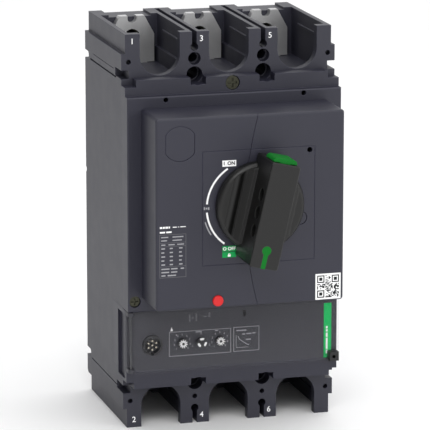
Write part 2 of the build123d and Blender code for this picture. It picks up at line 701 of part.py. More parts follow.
def seal_latch():
    latch = block((LATCH_X, CLEAR_RIGHT), (CLEAR_BACK, CLEAR_FRONT + 0.5), (CLEAR_BOTTOM, LATCH_Z))
    latch = fillet(front_edges(latch, CLEAR_FRONT + 0.5), 0.5)
    return latch - rod_y(66.4, -86.3, 1.1, CLEAR_BACK - CUT, CLEAR_FRONT + 2)


def trip_dial(x):
    head = rod_y(x, DIAL_Z, DIAL_HEAD_R, LIP_DEPTH + 0.2, 107.4)
    head = chamfer(front_edges(head, 107.4), 0.4)
    stem = rod_y(x, DIAL_Z, DIAL_STEM_R, 98.5, LIP_DEPTH + 0.2)
    arrow = block((x - 2.6, x + 2.0), (106.4, 108), (DIAL_Z - 0.45, DIAL_Z + 0.45))
    return head + stem - arrow


def test_connector():
    body = rod_y(CONNECTOR_X, CONNECTOR_Z, CONNECTOR_R, 98, 105.4)
    body -= rod_y(CONNECTOR_X, CONNECTOR_Z, 5.2, 101, 106)
    body -= block((CONNECTOR_X - 1.2, CONNECTOR_X + 1.2), (101, 106), (CONNECTOR_Z - 7, CONNECTOR_Z - 4))
    for x, z in CONNECTOR_PINS:
        body -= rod_y(CONNECTOR_X + x, CONNECTOR_Z + z, PIN_R, 99, 106)
    return body


def test_pins():
    return group(rod_y(CONNECTOR_X + x, CONNECTOR_Z + z, PIN_R, 99, 104.6) for x, z in CONNECTOR_PINS)


def circuit_board():
    board = block((-50, 50), (92, 93.6), (-84, -54))
    for x, width, z, height in ((-28, 12, -76, 10), (-2, 16, -72, 14), (24, 10, -64, 8), (36, 7, -78, 5)):
        board += block((x, x + width), (93.5, 96), (z, z + height))
    return board


def trip_solenoid():
    coil = rod_x(82, -68, 6.5, 22, 42)
    flange_left = rod_x(82, -68, 7.5, 20, 22)
    flange_right = rod_x(82, -68, 7.5, 42, 44)
    bracket = block((20, 44), (TRIP_BACK + WALL, 78), (-73, -63))
    return coil + flange_left + flange_right + bracket


# ---------------------------------------------------------------- rotary module

def module_housing():
    low, high = MODULE_Z - MODULE_HALF, MODULE_Z + MODULE_HALF
    housing = block((-MODULE_HALF, MODULE_HALF), (COVER_DEPTH, FASCIA_BACK), (low, high))
    housing = fillet(housing.edges().filter_by(Axis.Y), 2.0)
    inner = MODULE_HALF - WALL
    housing -= block((-inner, inner), (COVER_DEPTH - CUT, FASCIA_BACK + CUT),
                     (MODULE_Z - inner, MODULE_Z + inner))
    for x, z in MODULE_SCREWS:
        housing += block((x - 5, x + 5), (COVER_DEPTH, BOSS_FRONT), (z - 5, z + 5))
        housing -= rod_y(x, z, SCREW_R + 0.1, COVER_DEPTH - CUT, BOSS_FRONT + CUT)
    housing += block((-49.7, -16), (126, 128), (BUTTON_Z - 4, BUTTON_Z + 4))
    housing -= rod_y(BUTTON_X, BUTTON_Z, 1.8, 125, 129)
    return housing - block((BUTTON_X - 5.8, BUTTON_X + 5.8), (128, FASCIA_BACK + CUT),
                           (BUTTON_Z - 4.0, BUTTON_Z + 6))


def module_screws():
    return group(screw(x, z, 3.4, BOSS_FRONT, BOSS_FRONT + 2.6, 105.2) for x, z in MODULE_SCREWS)


def seam_cylinder(radius):
    """Large cylinder whose left edge is the seam between the two front panels."""
    return rod_y(SEAM_LEFT_X + SEAM_R, MODULE_Z, radius, FASCIA_BACK - CUT, MODULE_DEPTH + CUT)


def blank_outline(grow):
    keep = Rectangle(2 * (BLANK_HALF + grow), 4 * BLANK_R)
    return Pos(BLANK_X, BLANK_Z) * (Circle(BLANK_R + grow) & keep)


def fascia_plate():
    low, high = MODULE_Z - MODULE_HALF, MODULE_Z + MODULE_HALF
    plate = block((-MODULE_HALF, MODULE_HALF), (FASCIA_BACK, MODULE_DEPTH), (low, high))
    plate = fillet(plate.edges().filter_by(Axis.Y), 2.0)
    plate = fillet(front_edges(plate, MODULE_DEPTH), 1.6)
    outer = block((-31.2, 41.8), (MODULE_DEPTH - 0.3, MODULE_DEPTH + CUT), (-12.0, 60.7))
    inner = block((-30.8, 41.4), (MODULE_DEPTH - 1, MODULE_DEPTH + 2), (-11.6, 60.3))
    plate -= outer - inner
    plate -= rod_y(HANDLE_X, HANDLE_Z, HUB_R + RUNNING_GAP, FASCIA_BACK - CUT, MODULE_DEPTH + CUT)
    return plate


def fascia_left():
    panel = fascia_plate() - seam_cylinder(SEAM_R + 0.15)
    panel -= prism_y(blank_outline(0.1), FASCIA_BACK - CUT, MODULE_DEPTH + CUT)
    return panel - rod_y(BUTTON_X, BUTTON_Z, BUTTON_R + RUNNING_GAP, FASCIA_BACK - CUT, MODULE_DEPTH + CUT)


def fascia_right():
    panel = fascia_plate() & seam_cylinder(SEAM_R - 0.15)
    panel -= rod_y(38.3, 58.2, 1.7, FASCIA_BACK - CUT, MODULE_DEPTH + CUT)
    ring = rod_y(32.2, 15.2, 4.6, MODULE_DEPTH - 0.7, MODULE_DEPTH + CUT)
    return panel - (ring - rod_y(32.2, 15.2, 3.9, MODULE_DEPTH - 1, MODULE_DEPTH + 2))


def keylock_blank():
    plug = prism_y(blank_outline(0.0), 138.5, MODULE_DEPTH)
    plug = chamfer(front_edges(plug, MODULE_DEPTH), 0.3)
    rim = prism_y(blank_outline(1.2), 139.0, FASCIA_BACK)
    return plug + rim


# ---------------------------------------------------------------- handle


def padlock_holes(offset, x_low, x_high):
    holes = []
    for step in range(3):
        z = PADLOCK_TOP - PADLOCK_PITCH * step + offset
        holes.append(rod_x(PADLOCK_DEPTH, z, PADLOCK_HOLE_R, x_low, x_high))
    return holes


def pointer_solid(front, end_z):
    head = rod_y(0, POINTER_Z, 2.9, POINTER_BACK, front)
    return head + block((-1.45, 1.45), (POINTER_BACK, front), (end_z, POINTER_Z))


def soft_rib(side):
    """Low rounded ridge along the dial, and the grip's flared foot beside it."""
    ridge = rod_z(side * 18.8, DIAL_FRONT - 3.2, 4.4, -DIAL_R, DIAL_R)
    inner, outer = side * 8.0, side * 14.2
    points = [(inner, -(DIAL_FRONT - 1)), (outer, -(DIAL_FRONT - 1)), (outer, -DIAL_FRONT),
              (side * 11.0, -(DIAL_FRONT + 3.2)), (inner, -(DIAL_FRONT + 3.6))]
    foot = extrude(Plane.XY * make_face(Polyline(*points, close=True)), DIAL_R, both=True)
    return ridge + foot


def handle_knob():
    dial = rod_y(0, 0, DIAL_R, 145.4, DIAL_FRONT)
    dial = fillet(front_edges(dial, DIAL_FRONT), 3.0)
    inside = rod_y(0, 0, DIAL_R - 2.2, 147, 156)
    for side in SIDES:
        dial += soft_rib(side) & inside
    grip = block((GRIP_LEFT, GRIP_RIGHT), (147, GRIP_DEPTH), (GRIP_BOTTOM, GRIP_TOP))
    grip = fillet(grip.edges().filter_by(Axis.Y), 1.5)
    grip = fillet(front_edges(grip, GRIP_DEPTH), 0.8)
    swell = block((GRIP_RIGHT - 1, GRIP_RIGHT + 1), (151, 177.5), (-15, 22))
    grip += chamfer(swell.edges().filter_by(Axis.Z).sort_by(Axis.Y)[:1], 0.9)
    knob = dial + grip + rod_y(0, 0, HUB_R, 128, 147)
    knob -= block((-SLOT_HALF, SLOT_HALF), (SLOT_BACK, SLOT_FRONT), (SLOT_END, GRIP_TOP + CUT))
    for hole in padlock_holes(0, -16, 16):
        knob -= hole
    knob -= pointer_solid(GRIP_DEPTH + CUT, GRIP_BOTTOM - CUT)
    knob -= block((-SQUARE / 2, SQUARE / 2), (127, 152), (-SQUARE / 2, SQUARE / 2))
    return on_handle(knob)


def handle_pointer():
    return on_handle(pointer_solid(GRIP_DEPTH, GRIP_BOTTOM))


def handle_shaft():
    return on_handle(block((-SQUARE / 2, SQUARE / 2), (PINION_BACK, 152), (-SQUARE / 2, SQUARE / 2)))


def padlock_slide():
    blade = block((-3.5, 3.5), (SLOT_BACK + 0.3, SLOT_FRONT - 0.3), (SLIDE_END, GRIP_TOP + 0.4))
    for hole in padlock_holes(-SLIDE_TRAVEL, -5, 5):
        blade -= hole
    tab = block((-7.6, 7.6), (160.5, 176.5), (GRIP_TOP + 0.3, GRIP_TOP + 3.0))
    tab = fillet(tab.edges().filter_by(Axis.Y).group_by(Axis.Z)[-1], 2.2)
    return on_handle(blade + tab)


def padlock_slide_spring():
    spring = Pos(0, -(SLOT_BACK + SLOT_FRONT) / 2, SLOT_END + 0.1) * coil_spring(2.4, 0.4, 6.7, 1.6)
    return on_handle(spring)


def trip_button():
    cap = rod_y(BUTTON_X, BUTTON_Z, BUTTON_R, 138.5, 146.2)
    cap = fillet(front_edges(cap, 146.2), 1.0)
    flange = rod_y(BUTTON_X, BUTTON_Z, 5.2, 138.5, 140)
    flange -= block((BUTTON_X - 6, BUTTON_X + 6), (138, 141), (BUTTON_Z - 6, BUTTON_Z - 3.7))
    return cap + flange + rod_y(BUTTON_X, BUTTON_Z, 1.5, 104, 138.5)


def trip_button_spring():
    return Pos(BUTTON_X, -128, BUTTON_Z) * Rot(90, 0, 0) * coil_spring(3.0, 0.45, 10.4, 2.0)


def nodes():
    """Every sub-part by its node name."""
    parts = {
        "rear_base": rear_base(),
        "mid_case": mid_case(),
        "front_cover": front_cover(),
        "cover_screws": cover_screws(),
        "case_screws": case_screws(),
        "terminal_nuts": terminal_nuts(),
        "contact_tips": contact_tips(),
        "contact_shaft": rod_x(SHAFT_DEPTH, SHAFT_Z, SHAFT_R, -62, 62),
        "arc_chute_cheeks": arc_cheeks(),
        "mechanism_plates": mechanism_plates(),
        "toggle_pin": toggle_pin(),
        "toggle_lever": toggle_lever(),
        "main_springs": main_springs(),
        "shuttle_plate": shuttle_plate(),
        "shuttle_rails": shuttle_rails(),
        "trip_bar": trip_bar(),
        "trip_unit_housing": trip_unit_housing(),
        "trip_unit_face": trip_unit_face(),
        "trip_cover": trip_cover(),
        "trip_cover_pin": trip_cover_pin(),
        "seal_latch": seal_latch(),
        "test_connector": test_connector(),
        "test_pins": test_pins(),
        "trip_circuit_board": circuit_board(),
        "trip_solenoid": trip_solenoid(),
        "module_housing": module_housing(),
        "module_screws": module_screws(),
        "fascia_left": fascia_left(),
        "fascia_right": fascia_right(),
        "keylock_blank": keylock_blank(),
        "handle_knob": handle_knob(),
        "handle_pointer": handle_pointer(),
        "handle_shaft": handle_shaft(),
        "handle_pinion": handle_pinion(),
        "padlock_slide": padlock_slide(),
        "padlock_slide_spring": padlock_slide_spring(),
        "trip_button": trip_button(),
        "trip_button_spring": trip_button_spring(),
    }
    for number, pole in enumerate(POLES, 1):
        parts[f"line_terminal_{number}"] = line_terminal(pole)
        parts[f"load_terminal_{number}"] = load_terminal(pole)
        parts[f"contact_rotor_{number}"] = contact_rotor(pole)
        parts[f"contact_arm_{number}"] = contact_arm(pole)
        parts[f"arc_plates_{number}"] = arc_plates(pole)
        parts[f"current_transformer_{number}"] = current_transformer(pole)
    for number, x in enumerate(DIAL_XS, 1):
        parts[f"trip_dial_{number}"] = trip_dial(x)
    return parts


os.makedirs("parts", exist_ok=True)
for node_name, shape in nodes().items():
    export_step(shape, f"parts/{node_name}.step")
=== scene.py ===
import json
import math

import bmesh
import bpy
from mathutils import Matrix, Vector


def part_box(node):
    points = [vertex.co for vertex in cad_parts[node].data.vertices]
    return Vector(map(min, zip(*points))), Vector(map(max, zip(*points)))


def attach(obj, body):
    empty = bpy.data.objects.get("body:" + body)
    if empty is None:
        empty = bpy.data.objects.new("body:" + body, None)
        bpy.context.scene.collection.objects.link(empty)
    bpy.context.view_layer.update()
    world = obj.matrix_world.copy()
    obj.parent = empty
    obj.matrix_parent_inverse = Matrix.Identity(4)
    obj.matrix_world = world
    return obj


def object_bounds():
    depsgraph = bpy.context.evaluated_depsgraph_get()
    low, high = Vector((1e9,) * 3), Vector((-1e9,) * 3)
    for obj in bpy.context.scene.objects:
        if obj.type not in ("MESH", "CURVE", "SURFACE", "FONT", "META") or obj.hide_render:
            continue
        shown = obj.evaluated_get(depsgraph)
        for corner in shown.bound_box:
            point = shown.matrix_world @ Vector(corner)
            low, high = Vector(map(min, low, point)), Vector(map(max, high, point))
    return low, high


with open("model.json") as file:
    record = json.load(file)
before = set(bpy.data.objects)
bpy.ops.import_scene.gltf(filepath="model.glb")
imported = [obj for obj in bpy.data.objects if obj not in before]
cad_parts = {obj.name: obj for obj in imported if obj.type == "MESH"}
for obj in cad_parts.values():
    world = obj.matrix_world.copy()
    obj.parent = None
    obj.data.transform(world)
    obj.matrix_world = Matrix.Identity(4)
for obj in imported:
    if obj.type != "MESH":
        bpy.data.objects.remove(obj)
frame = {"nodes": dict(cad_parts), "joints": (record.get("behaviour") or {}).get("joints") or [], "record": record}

MM = 0.001
cad_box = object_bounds()
nodes = frame["nodes"]
scene = bpy.context.scene

# Camera solved from the object's outline: degrees, metres, and millimetres of lens
CAMERA_AZIMUTH = -15.72
CAMERA_ELEVATION = 12.70
CAMERA_DISTANCE = 2.1931
CAMERA_TARGET = Vector((0.0, -0.050, 0.0))
CAMERA_LENS = 282.45
CAMERA_SHIFT = (0.0133, -0.0065)
SENSOR_WIDTH = 36.0

# Printed ink, in millimetres: its thickness, and its height above the face
PRINT_THICKNESS = 0.06
PRINT_LIFT = 0.02

# Millimetres that the mid case's lugs stand in front of its shroud
LUG_RISE = 10.5
# Thickness of the trip unit's face plate, in millimetres
FACE_PLATE = 2.5

# Noise factors between which ramps and ranges run
NOISE_LOW = 0.3
NOISE_HIGH = 0.7
# Noise scales, per metre
FLOW_SCALE = 28.0
GRAIN_SCALE = 3600.0
WEAR_SCALE = 90.0
STAIN_SCALE = 45.0
INK_SCALE = 700.0
HAZE_SCALE = 60.0
FLOOR_SCALE = 3.0
TRACK_SCALE = 260.0
# Heights of moulded grain and brushed lines, in metres
GRAIN_HEIGHT = 0.00005
LINE_HEIGHT = 0.00004
LINE_STRENGTH = 0.25
# Edge mask for the painted edge highlight: cosines between the softened and the true normal
EDGE_START = 0.995
EDGE_END = 0.85
BEVEL_SAMPLES = 4


# ---------------------------------------------------------------- places read from the frame

def front_depth(node):
    """Depth of a node's front face in front of the mounting plane, in millimetres."""
    return -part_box(node)[0][1] / MM


def centre(node):
    """Centre of a node in x and z, in millimetres."""
    low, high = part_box(node)
    return ((low[0] + high[0]) / 2 / MM, (low[2] + high[2]) / 2 / MM)


def joint_place(name):
    """Point on a joint's axis in x and z, in millimetres."""
    for joint in frame["joints"]:
        if joint["name"] == name:
            return (joint["pos_m"][0] / MM, joint["pos_m"][2] / MM)
    raise KeyError(name)


HANDLE_AXIS = joint_place("handle_turn")
PANEL = front_depth("fascia_left")
FACE = -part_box("trip_unit_face")[1][1] / MM + FACE_PLATE
SHROUD = front_depth("mid_case") - LUG_RISE


# ---------------------------------------------------------------- materials

def new_material(name):
    material = bpy.data.materials.new(name)
    material.use_nodes = True
    tree = material.node_tree
    shader = tree.nodes["Principled BSDF"]
    return material, tree, shader


def object_noise(tree, scale, detail=4.0, stretch=None):
    """Noise in the object's own coordinates, which are metres."""
    coordinates = tree.nodes.new("ShaderNodeTexCoord")
    noise = tree.nodes.new("ShaderNodeTexNoise")
    noise.inputs["Scale"].default_value = scale
    noise.inputs["Detail"].default_value = detail
    if stretch is None:
        tree.links.new(coordinates.outputs["Object"], noise.inputs["Vector"])
    else:
        mapping = tree.nodes.new("ShaderNodeMapping")
        mapping.inputs["Scale"].default_value = stretch
        tree.links.new(coordinates.outputs["Object"], mapping.inputs["Vector"])
        tree.links.new(mapping.outputs["Vector"], noise.inputs["Vector"])
    return noise.outputs["Fac"]


def ramp(tree, source, low, high):
    """Colour ramp between two colours, driven by a factor."""
    node = tree.nodes.new("ShaderNodeValToRGB")
    node.color_ramp.elements[0].position = NOISE_LOW
    node.color_ramp.elements[1].position = NOISE_HIGH
    node.color_ramp.elements[0].color = (*low, 1.0)
    node.color_ramp.elements[1].color = (*high, 1.0)
    tree.links.new(source, node.inputs["Fac"])
    return node.outputs["Color"]


def spread(tree, source, low, high):
    """Maps a noise factor onto a range of values."""
    node = tree.nodes.new("ShaderNodeMapRange")
    node.inputs["From Min"].default_value = NOISE_LOW
    node.inputs["From Max"].default_value = NOISE_HIGH
    node.inputs["To Min"].default_value = low
    node.inputs["To Max"].default_value = high
    tree.links.new(source, node.inputs["Value"])
    return node.outputs["Result"]


def bump(tree, shader, source, strength, distance):
    node = tree.nodes.new("ShaderNodeBump")
    node.inputs["Strength"].default_value = strength
    node.inputs["Distance"].default_value = distance
    tree.links.new(source, node.inputs["Height"])
    tree.links.new(node.outputs["Normal"], shader.inputs["Normal"])
    return node


def shade(colour, factor):
    return tuple(channel * factor for channel in colour)


def drive(tree, output, shader, name):
    """Links a node's output to one input of the shader."""
    tree.links.new(output, shader.inputs[name])


def soft_normal(tree, radius):
    """Normal that is rounded off near sharp edges, over a radius in millimetres."""
    rounded = tree.nodes.new("ShaderNodeBevel")
    rounded.samples = BEVEL_SAMPLES
    rounded.inputs["Radius"].default_value = radius * MM
    return rounded.outputs["Normal"]


def edge_mask(tree, normal):
    """Factor that rises where the rounded normal leaves the true one; it places the painted edge highlight."""
    geometry = tree.nodes.new("ShaderNodeNewGeometry")
    turn = tree.nodes.new("ShaderNodeVectorMath")
    turn.operation = "DOT_PRODUCT"
    tree.links.new(normal, turn.inputs[0])
    tree.links.new(geometry.outputs["Normal"], turn.inputs[1])
    edge = tree.nodes.new("ShaderNodeMapRange")
    edge.inputs["From Min"].default_value = EDGE_START
    edge.inputs["From Max"].default_value = EDGE_END
    tree.links.new(turn.outputs["Value"], edge.inputs["Value"])
    return edge.outputs["Result"]


def mixed(tree, factor, linked, plain):
    """Mix of a linked colour and a plain one."""
    mix = tree.nodes.new("ShaderNodeMix")
    mix.data_type = "RGBA"
    inputs = [socket for socket in mix.inputs if socket.type == "RGBA"]
    outputs = [socket for socket in mix.outputs if socket.type == "RGBA"]
    inputs[1].default_value = (*plain, 1.0)
    tree.links.new(factor, mix.inputs["Factor"])
    tree.links.new(linked, inputs[0])
    return outputs[0]


def moulded(name, colour, roughness, grain=0.12, edge_highlight=2.2, radius=0.45, specular=0.5):
    """Moulded plastic: faint flow variation, fine grain, and a painted highlight that lightens the colour along
    rounded edges.
    """
    material, tree, shader = new_material(name)
    flow = object_noise(tree, FLOW_SCALE, 3.0)
    base = ramp(tree, flow, shade(colour, 0.97), shade(colour, 1.03))
    normal = soft_normal(tree, radius)
    # Painted edge highlight: the colour is mixed towards a lighter tone where the rounded normal turns away
    lit = mixed(tree, edge_mask(tree, normal), base, shade(colour, edge_highlight))
    drive(tree, lit, shader, "Base Color")
    fine = object_noise(tree, GRAIN_SCALE, 2.0)
    wear = object_noise(tree, WEAR_SCALE, 5.0)
    drive(tree, spread(tree, wear, roughness - 0.015, roughness + 0.02), shader, "Roughness")
    bumped = bump(tree, shader, fine, grain, GRAIN_HEIGHT)
    tree.links.new(normal, bumped.inputs["Normal"])
    shader.inputs["Specular IOR Level"].default_value = specular
    return material


def brushed(name, colour, roughness, stretch=(60.0, 60.0, 1800.0), stain=0.85, metallic=1.0):
    """Metal with fine drawn or brushed lines and a faint stain."""
    material, tree, shader = new_material(name)
    lines = object_noise(tree, 1.0, 6.0, stretch)
    cloud = object_noise(tree, STAIN_SCALE, 4.0)
    drive(tree, ramp(tree, cloud, shade(colour, stain), colour), shader, "Base Color")
    drive(tree, spread(tree, lines, roughness - 0.1, roughness + 0.14), shader, "Roughness")
    bump(tree, shader, lines, LINE_STRENGTH, LINE_HEIGHT)
    shader.inputs["Metallic"].default_value = metallic
    return material


def printed(name, colour, roughness=0.45):
    """Pad-printed ink, slightly uneven."""
    material, tree, shader = new_material(name)
    ink = object_noise(tree, INK_SCALE, 3.0)
    drive(tree, ramp(tree, ink, shade(colour, 0.9), colour), shader, "Base Color")
    drive(tree, spread(tree, ink, roughness - 0.05, roughness + 0.08), shader, "Roughness")
    shader.inputs["Specular IOR Level"].default_value = 0.2
    return material


def clear_sheet(name, colour, alpha):
    """Tinted clear polycarbonate with faint moulding haze."""
    material, tree, shader = new_material(name)
    haze = object_noise(tree, HAZE_SCALE, 4.0)
    drive(tree, ramp(tree, haze, shade(colour, 0.9), colour), shader, "Base Color")
    drive(tree, spread(tree, haze, 0.28, 0.36), shader, "Roughness")
    shader.inputs["Alpha"].default_value = alpha
    shader.inputs["Specular IOR Level"].default_value = 0.25
    return material


def circuit_laminate(name, colour):
    """Solder mask with faint copper tracks under it."""
    material, tree, shader = new_material(name)
    coordinates = tree.nodes.new("ShaderNodeTexCoord")
    bricks = tree.nodes.new("ShaderNodeTexBrick")
    bricks.inputs["Scale"].default_value = TRACK_SCALE
    bricks.inputs["Mortar Size"].default_value = 0.05
    bricks.inputs["Color1"].default_value = (*colour, 1.0)
    bricks.inputs["Color2"].default_value = (*shade(colour, 0.85), 1.0)
    bricks.inputs["Mortar"].default_value = (*shade(colour, 1.8), 1.0)
    tree.links.new(coordinates.outputs["Object"], bricks.inputs["Vector"])
    drive(tree, bricks.outputs["Color"], shader, "Base Color")
    shader.inputs["Roughness"].default_value = 0.35
    return material


CASE = (0.018, 0.018, 0.030)
COVER = (0.016, 0.016, 0.029)

FINISHES = {
    "case_plastic": moulded("case_plastic", CASE, 0.50),
    "cover_plastic": moulded("cover_plastic", COVER, 0.48),
    "trip_unit_plastic": moulded("trip_unit_plastic", (0.029, 0.029, 0.038), 0.55, 0.05),
    # The handle, green and red plastics set their own painted edge highlight factor as the fifth argument
    "handle_plastic": moulded("handle_plastic", (0.004, 0.004, 0.0038), 0.36, 0.1, 8.0, 0.6, 0.42),
    "green_plastic": moulded("green_plastic", (0.002, 0.145, 0.014), 0.42, 0.08, 1.4, 0.3, 0.14),
    "red_plastic": moulded("red_plastic", (0.60, 0.010, 0.012), 0.28, 0.05, 1.1, 0.6, 0.4),
    "clear_plastic": clear_sheet("clear_plastic", (0.15, 0.15, 0.17), 0.05),
    "black_plastic": moulded("black_plastic", (0.004, 0.004, 0.005), 0.45, 0.1),
    "dial_plastic": moulded("dial_plastic", (0.012, 0.012, 0.013), 0.45, 0.1),
    "zinc_steel": brushed("zinc_steel", (0.065, 0.065, 0.048), 0.42),
    "plain_steel": brushed("plain_steel", (0.09, 0.09, 0.095), 0.40),
    "spring_steel": brushed("spring_steel", (0.42, 0.42, 0.44), 0.30),
    "rotor_plastic": moulded("rotor_plastic", (0.28, 0.14, 0.06), 0.5),
    "copper": brushed("copper", (0.75, 0.38, 0.22), 0.32),
    "silver_contact": brushed("silver_contact", (0.80, 0.79, 0.76), 0.4),
    "fibre_board": moulded("fibre_board", (0.46, 0.36, 0.25), 0.75, 0.8),
    "circuit_board": circuit_laminate("circuit_board", (0.015, 0.13, 0.06)),
    "solenoid_steel": brushed("solenoid_steel", (0.40, 0.40, 0.42), 0.3),
    "brass_pin": brushed("brass_pin", (0.60, 0.55, 0.45), 0.35),
    "tinned_copper": brushed("tinned_copper", (0.58, 0.58, 0.585), 0.38, (1500.0, 40.0, 40.0), 0.75, 0.75),
    "transformer_resin": moulded("transformer_resin", (0.06, 0.06, 0.065), 0.55),
}
WHITE_INK = printed("white_ink", (0.95, 0.95, 0.95))
GREY_INK = printed("grey_ink", (0.34, 0.34, 0.36))
SOFT_INK = printed("soft_ink", (0.14, 0.14, 0.15))
DARK_INK = printed("dark_ink", (0.012, 0.012, 0.014))
GREEN_INK = printed("green_ink", (0.003, 0.33, 0.075))
STRIP_INK = printed("strip_ink", (0.002, 0.52, 0.12))
STICKER = printed("sticker", (0.95, 0.95, 0.95), 0.4)


def dress_nodes():
    """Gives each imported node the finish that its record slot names."""
    slots = {entry["node"]: entry["material_slot"] for entry in frame["record"]["subparts"]}
    for name, node in nodes.items():
        finish = FINISHES[slots[name]]
        node.data.materials.clear()
        node.data.materials.append(finish)


# ---------------------------------------------------------------- flat printed pieces

def rectangle(x_low, z_low, x_high, z_high):
    return [(x_low, z_low), (x_high, z_low), (x_high, z_high), (x_low, z_high)]


def arc_band(x, z, inner, outer, start, end, steps=24):
    """Outline of a stretch of ring, with angles in degrees from +x."""
    angles = [math.radians(start + (end - start) * n / steps) for n in range(steps + 1)]
    outside = [(x + outer * math.cos(a), z + outer * math.sin(a)) for a in angles]
    inside = [(x + inner * math.cos(a), z + inner * math.sin(a)) for a in reversed(angles)]
    return outside + inside


def bar(start, end, width):
    """Outline of a straight line of some width."""
    along = Vector((end[0] - start[0], end[1] - start[1])).normalized()
    side = Vector((-along.y, along.x)) * width / 2
    return [(start[0] + side.x, start[1] + side.y), (start[0] - side.x, start[1] - side.y),
            (end[0] - side.x, end[1] - side.y), (end[0] + side.x, end[1] + side.y)]


def frame_lines(x_low, z_low, x_high, z_high, width):
    """Four bars that outline a rectangle."""
    half = width / 2
    return [rectangle(x_low - half, z_low - half, x_high + half, z_low + half),
            rectangle(x_low - half, z_high - half, x_high + half, z_high + half),
            rectangle(x_low - half, z_low + half, x_low + half, z_high - half),
            rectangle(x_high - half, z_low + half, x_high + half, z_high - half)]


def finish_piece(piece, material, body):
    piece.data.materials.clear()
    piece.data.materials.append(material)
    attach(piece, body)
    return piece


def print_on(name, outlines, depth, material, body, thickness=PRINT_THICKNESS):
    """Thin raised print: each outline, in x and z millimetres, becomes a low prism on a front face."""
    mesh = bpy.data.meshes.new(name)
    shape = bmesh.new()
    back = -(depth + PRINT_LIFT) * MM
    for outline in outlines:
        corners = [shape.verts.new((x * MM, back, z * MM)) for x, z in outline]
        face = shape.faces.new(corners)
        grown = bmesh.ops.extrude_face_region(shape, geom=[face])
        moved = [item for item in grown["geom"] if isinstance(item, bmesh.types.BMVert)]
        bmesh.ops.translate(shape, verts=moved, vec=(0.0, -thickness * MM, 0.0))
    bmesh.ops.recalc_face_normals(shape, faces=shape.faces)
    bmesh.ops.triangulate(shape, faces=[f for f in shape.faces if len(f.verts) > 4])
    shape.to_mesh(mesh)
    shape.free()
    piece = bpy.data.objects.new(name, mesh)
    scene.collection.objects.link(piece)
    return finish_piece(piece, material, body)


def numeral(name, text, x, z, height, depth, material, body, weight=0.015):
    """Printed numeral or symbol, centred on x and z."""
    curve = bpy.data.curves.new(name + "_outline", "FONT")
    curve.body = text
    curve.align_x = "CENTER"
    curve.align_y = "CENTER"
    curve.size = height * MM
    curve.offset = height * weight * MM
    curve.extrude = PRINT_THICKNESS * MM / 2
    holder = bpy.data.objects.new(name + "_outline", curve)
    scene.collection.objects.link(holder)
    bpy.context.view_layer.update()
    mesh = bpy.data.meshes.new_from_object(holder)
    bpy.data.objects.remove(holder)
    stand = Matrix.Rotation(math.radians(90), 4, "X")
    middle = depth + PRINT_LIFT + PRINT_THICKNESS / 2
    place = Matrix.Translation((x * MM, -middle * MM, z * MM))
    mesh.transform(place @ stand)
    piece = bpy.data.objects.new(name, mesh)
    scene.collection.objects.link(piece)
    return finish_piece(piece, material, body)


# ---------------------------------------------------------------- prints on the rotary module

# Handle scale: millimetres from the handle's axis, and degrees from +x
SCALE_X = HANDLE_AXIS[0] - 4.8
SCALE_Z = HANDLE_AXIS[1] - 0.2
ARC_INNER = 28.3
ARC_OUTER = 29.5
ARC_STRETCHES = ((122.0, 174.6), (185.2, 232.8))
RESET_INNER = 30.7
RESET_OUTER = 31.5
RESET_STRETCH = (196.0, 213.0)
SMALL_ARC_STEPS = 8
PLATE_LEFT = HANDLE_AXIS[0] - 23.6
PLATE_RIGHT = HANDLE_AXIS[0] - 14.7
PLATE_MIDDLE = (PLATE_LEFT + PLATE_RIGHT) / 2
ON_LOW = HANDLE_AXIS[1] + 25.7
ON_HIGH = HANDLE_AXIS[1] + 29.6
OFF_LOW = HANDLE_AXIS[1] - 32.2
OFF_HIGH = HANDLE_AXIS[1] - 24.8
OFF_SPLIT = (OFF_LOW + OFF_HIGH) / 2
SPLIT_GAP = 0.2
ON_HEIGHT = 3.1
OFF_HEIGHT = 2.9
SIGN_WEIGHT = 0.03
# Second layer of ink, on top of a printed plate
RAISED = PANEL + PRINT_THICKNESS
# Trip mark's three blocks: low x, low z, high x and high z from its centre
TRIP_MARK_SHIFT = (-28.9, 0.1)
TRIP_MARK_BLOCKS = ((-1.9, -0.9, -1.1, 0.9), (-0.7, -0.6, 0.4, 0.5), (0.8, -1.0, 1.7, 0.7))


def case_print(name, outlines, material, depth=PANEL):
    """Print that stays with the case."""
    print_on(name, outlines, depth, material, "case")


def blocks(x, z, corners):
    """Rectangles given by their low and high corners from a point."""
    return [rectangle(x + x_low, z + z_low, x + x_high, z + z_high)
            for x_low, z_low, x_high, z_high in corners]


def sign(name, text, z, height, ink):
    """Word on one of the two plates."""
    numeral(name, text, PLATE_MIDDLE, z, height, RAISED, ink, "case", SIGN_WEIGHT)


def travel_arc():
    """White arc along the handle's travel, with a gap for the trip mark."""
    arcs = [arc_band(SCALE_X, SCALE_Z, ARC_INNER, ARC_OUTER, *ends) for ends in ARC_STRETCHES]
    case_print("travel_arc", arcs, WHITE_INK)


def on_and_off_signs():
    """Plates and words at the two ends of the handle's travel."""
    on_plate = [rectangle(PLATE_LEFT, ON_LOW, PLATE_RIGHT, ON_HIGH)]
    case_print("on_plate", on_plate, WHITE_INK)
    sign("on_text", "I  ON", (ON_LOW + ON_HIGH) / 2, ON_HEIGHT, DARK_INK)
    plates = [rectangle(PLATE_LEFT, OFF_LOW, PLATE_RIGHT, OFF_SPLIT - SPLIT_GAP),
              rectangle(PLATE_LEFT, OFF_SPLIT + SPLIT_GAP, PLATE_RIGHT, OFF_HIGH)]
    case_print("off_plates", plates, GREEN_INK)
    sign("off_text", "O OFF", (OFF_SPLIT + OFF_HIGH) / 2, OFF_HEIGHT, WHITE_INK)


def padlock_sign():
    """Padlock on the lower plate: a block with a shackle over it."""
    x, z = PLATE_MIDDLE, (OFF_LOW + OFF_SPLIT) / 2 - 0.4
    padlock = blocks(x, z, ((-0.9, -0.9, 0.9, 0.4),))
    padlock.append(arc_band(x, z + 0.4, 0.45, 0.75, 0, 180, SMALL_ARC_STEPS))
    case_print("padlock_sign", padlock, WHITE_INK, RAISED)


